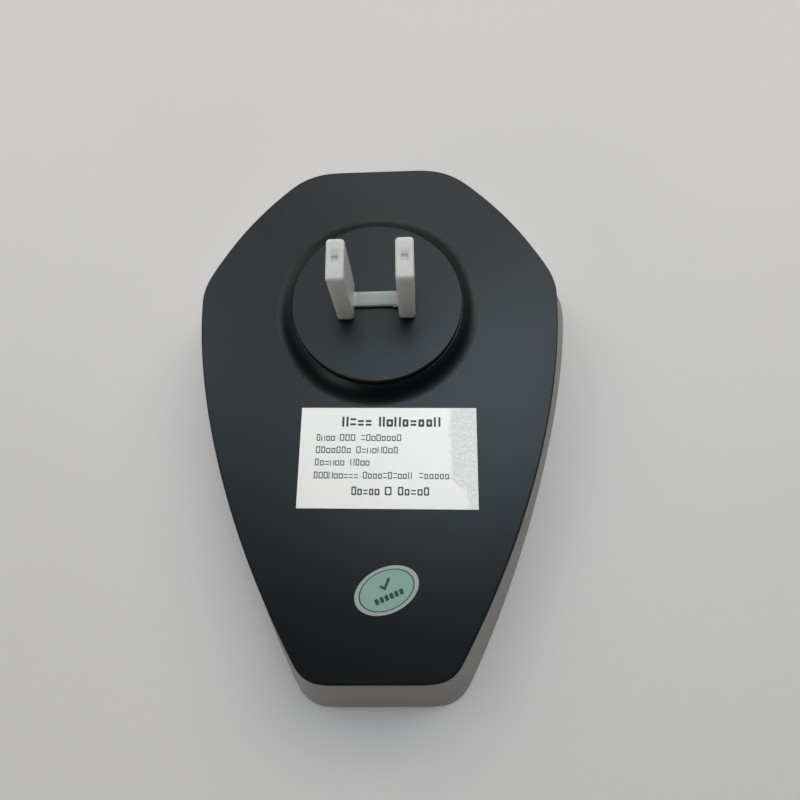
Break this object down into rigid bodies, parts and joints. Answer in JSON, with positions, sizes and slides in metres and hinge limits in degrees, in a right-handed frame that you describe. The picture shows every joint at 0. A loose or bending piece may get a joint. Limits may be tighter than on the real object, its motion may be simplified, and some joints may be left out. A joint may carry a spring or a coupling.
{
  "type": "ultrasonic pest repeller",
  "caption": "Plug-in ultrasonic pest repeller: a tapering shield-shaped housing with a raised plug boss on its back, flat blades under a slide-off cover, and a speaker inside.",
  "frame": {"origin": "centre of the bounding box at its base, on the surface that the front face lies on", "axes": "+Z out of the back of the housing along the plug blades, +Y towards the wide end, +X across"},
  "size_m": [0.087, 0.1214, 0.0388],
  "materials": {
    "black_plastic": "matte, very fine moulded texture",
    "grey_plastic": "satin, smooth moulded",
    "soft_white": "waxy translucent polyethylene",
    "foil_paper": "satin metallised paper, printed",
    "mint_paper": "satin paper, printed",
    "nickel_plate": "bright nickel plate",
    "zinc_steel": "zinc plated",
    "clear_plastic": "clear moulded",
    "inner_plastic": "plain moulded",
    "foam": "open cell foam",
    "aluminium_foil": "bare foil",
    "brass_plate": "bare",
    "board_laminate": "solder mask",
    "yellow_case": "moulded case",
    "chip_case": "moulded epoxy",
    "blue_coating": "dipped epoxy",
    "green_coating": "lacquered",
    "tan_coating": "lacquered",
    "capacitor_can": "sleeved can",
    "ferrite": "sintered, dull",
    "copper_wire": "enamelled",
    "brown_insulation": "soft insulation",
    "blue_insulation": "soft insulation",
    "red_insulation": "soft insulation",
    "black_insulation": "soft insulation"
  },
  "bodies": {
    "housing": {"front_shell": "grey_plastic", "rear_cover": "black_plastic", "light_window": "clear_plastic", "rating_label": "foil_paper", "inspection_sticker": "mint_paper", "plug_insert": "black_plastic", "blade_left": "nickel_plate", "blade_right": "nickel_plate", "blade_clamp": "inner_plastic", "clamp_screw_1": "zinc_steel", "clamp_screw_2": "zinc_steel", "speaker_gasket": "foam", "speaker_frame": "inner_plastic", "speaker_cone": "aluminium_foil", "piezo_disc": "brass_plate", "speaker_screw_1": "zinc_steel", "speaker_screw_2": "zinc_steel", "speaker_screw_3": "zinc_steel", "circuit_board": "board_laminate", "board_screw_1": "zinc_steel", "board_screw_2": "zinc_steel", "board_screw_3": "zinc_steel", "board_screw_4": "zinc_steel", "film_capacitor": "yellow_case", "bridge_rectifier": "chip_case", "varistor": "blue_coating", "fuse_resistor": "green_coating", "filter_capacitor": "capacitor_can", "output_capacitor": "capacitor_can", "transformer_core": "ferrite", "transformer_coil": "copper_wire", "controller_chip": "chip_case", "driver_transistor_1": "chip_case", "driver_transistor_2": "chip_case", "resistor_1": "tan_coating", "resistor_2": "tan_coating", "resistor_3": "tan_coating", "resistor_4": "tan_coating", "indicator_led": "clear_plastic", "mains_lead_left": "brown_insulation", "mains_lead_right": "blue_insulation", "speaker_lead_left": "red_insulation", "speaker_lead_right": "black_insulation"},
    "blade_cover": {"prong_cover": "soft_white"}
  },
  "joints": [
    {"name": "blade_cover_pull", "type": "slide", "parent": "housing", "child": "blade_cover", "axis": [0, 0, 1], "range_m": [0, 0.022]}
  ]
}
